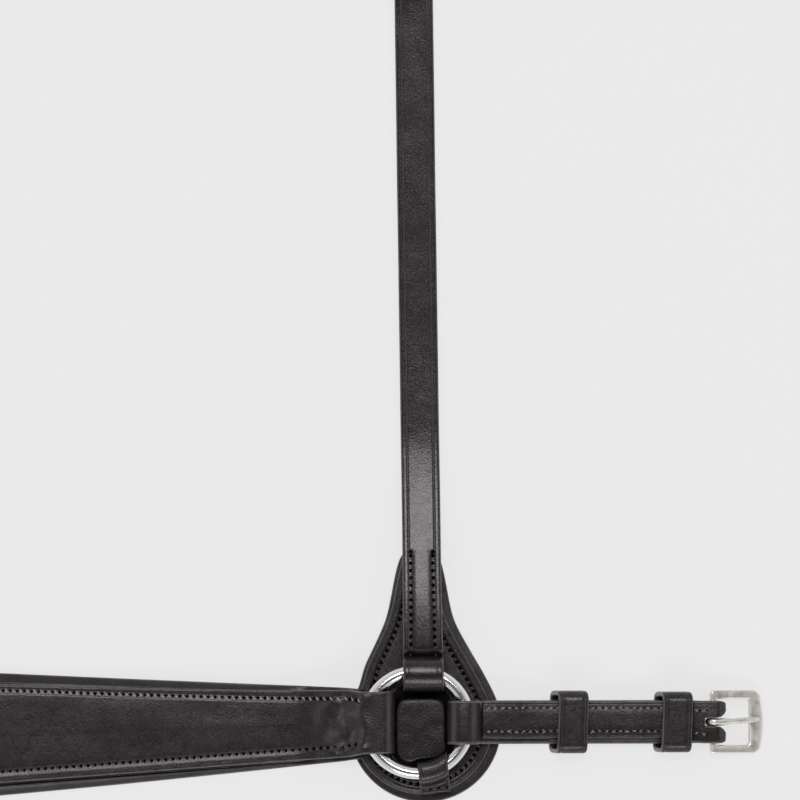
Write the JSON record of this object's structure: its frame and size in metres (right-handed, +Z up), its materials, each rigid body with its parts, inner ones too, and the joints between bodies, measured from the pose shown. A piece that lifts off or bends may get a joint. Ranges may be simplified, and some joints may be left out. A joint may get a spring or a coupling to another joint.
{
  "type": "breast-collar martingale",
  "caption": "Breast-collar martingale in black leather laid flat: padded chest strap, neck strap, ringed shoulder safes, girth straps with buckles, and a rein fork.",
  "frame": {"origin": "middle of the underside of the chest strap, which lies on the table", "axes": "+X along the chest strap towards the wearer's pictured shoulder, +Y from the chest strap towards the top of the neck strap, +Z up from the table, out of the grain side of the leather"},
  "size_m": [0.8036, 0.5071, 0.0184],
  "materials": {
    "black_leather": "black bridle leather, fine grain, semi-matt",
    "lining_leather": "soft black lining leather",
    "core_leather": "undyed core leather",
    "foam": "felt padding, hidden",
    "polished_steel": "polished stainless steel",
    "satin_steel": "satin stainless steel"
  },
  "bodies": {
    "chest": {"chest_facing": "black_leather", "chest_padding": "foam", "chest_lining": "lining_leather", "square_chape": "black_leather", "right_safe_backing": "lining_leather", "right_safe_face": "black_leather", "right_safe_tab": "black_leather", "left_safe_backing": "lining_leather", "left_safe_face": "black_leather", "left_safe_tab": "black_leather"},
    "neck": {"neck_strap": "black_leather"},
    "square": {"chest_square": "polished_steel"},
    "fork": {"fork_trunk": "black_leather", "fork_arm_right": "black_leather", "fork_arm_left": "black_leather"},
    "right_ring": {"right_shoulder_ring": "polished_steel"},
    "right_girth": {"right_girth_chape": "black_leather", "right_chape_filler": "core_leather", "right_fixed_keeper": "black_leather"},
    "right_slider": {"right_running_keeper": "black_leather"},
    "right_frame": {"right_buckle_frame": "satin_steel"},
    "right_tongue": {"right_buckle_tongue": "satin_steel"},
    "right_fork_ring": {"fork_ring_right": "polished_steel"},
    "left_ring": {"left_shoulder_ring": "polished_steel"},
    "left_girth": {"left_girth_chape": "black_leather", "left_chape_filler": "core_leather", "left_fixed_keeper": "black_leather"},
    "left_slider": {"left_running_keeper": "black_leather"},
    "left_frame": {"left_buckle_frame": "satin_steel"},
    "left_tongue": {"left_buckle_tongue": "satin_steel"},
    "left_fork_ring": {"fork_ring_left": "polished_steel"}
  },
  "joints": [
    {"name": "neck_lift", "type": "hinge", "parent": "chest", "child": "neck", "pos_m": [0, 0.0253, 0.0117], "axis": [1, 0, 0], "range_deg": [0, 120]},
    {"name": "square_swing", "type": "hinge", "parent": "chest", "child": "square", "pos_m": [0, 0.035, 0.0105], "axis": [1, 0, 0], "range_deg": [0, 60]},
    {"name": "fork_swing", "type": "hinge", "parent": "square", "child": "fork", "pos_m": [0, 0.04806, 0.00749], "axis": [1, 0, 0], "range_deg": [0, 60]},
    {"name": "right_ring_turn", "type": "hinge", "parent": "chest", "child": "right_ring", "pos_m": [0.26, 0.006, 0.0117], "axis": [0, 0, 1], "continuous": true},
    {"name": "right_girth_lift", "type": "hinge", "parent": "chest", "child": "right_girth", "pos_m": [0.27978, 0.006, 0.0117], "axis": [0, -1, 0], "range_deg": [0, 80]},
    {"name": "right_keeper_slide", "type": "slide", "parent": "right_girth", "child": "right_slider", "axis": [1, 0, 0], "range_m": [-0.014, 0.028]},
    {"name": "right_frame_swing", "type": "hinge", "parent": "right_girth", "child": "right_frame", "pos_m": [0.3815, 0.006, 0.0061], "axis": [0, -1, 0], "range_deg": [0, 30]},
    {"name": "right_tongue_swing", "type": "hinge", "parent": "right_frame", "child": "right_tongue", "pos_m": [0.3815, 0.006, 0.0061], "axis": [0, -1, 0], "range_deg": [0, 60]},
    {"name": "right_fork_ring_swing", "type": "hinge", "parent": "fork", "child": "right_fork_ring", "pos_m": [0.06427, 0.37102, 0.0047], "axis": [0.8274, -0.5616, 0], "range_deg": [0, 80]},
    {"name": "left_ring_turn", "type": "hinge", "parent": "chest", "child": "left_ring", "pos_m": [-0.26, 0.006, 0.0117], "axis": [0, 0, 1], "continuous": true},
    {"name": "left_girth_lift", "type": "hinge", "parent": "chest", "child": "left_girth", "pos_m": [-0.27978, 0.006, 0.0117], "axis": [0, 1, 0], "range_deg": [0, 80]},
    {"name": "left_keeper_slide", "type": "slide", "parent": "left_girth", "child": "left_slider", "axis": [-1, 0, 0], "range_m": [-0.014, 0.028]},
    {"name": "left_frame_swing", "type": "hinge", "parent": "left_girth", "child": "left_frame", "pos_m": [-0.3815, 0.006, 0.0061], "axis": [0, 1, 0], "range_deg": [0, 30]},
    {"name": "left_tongue_swing", "type": "hinge", "parent": "left_frame", "child": "left_tongue", "pos_m": [-0.3815, 0.006, 0.0061], "axis": [0, 1, 0], "range_deg": [0, 60]},
    {"name": "left_fork_ring_swing", "type": "hinge", "parent": "fork", "child": "left_fork_ring", "pos_m": [-0.06427, 0.37102, 0.0047], "axis": [0.8274, 0.5616, 0], "range_deg": [0, 80]}
  ]
}
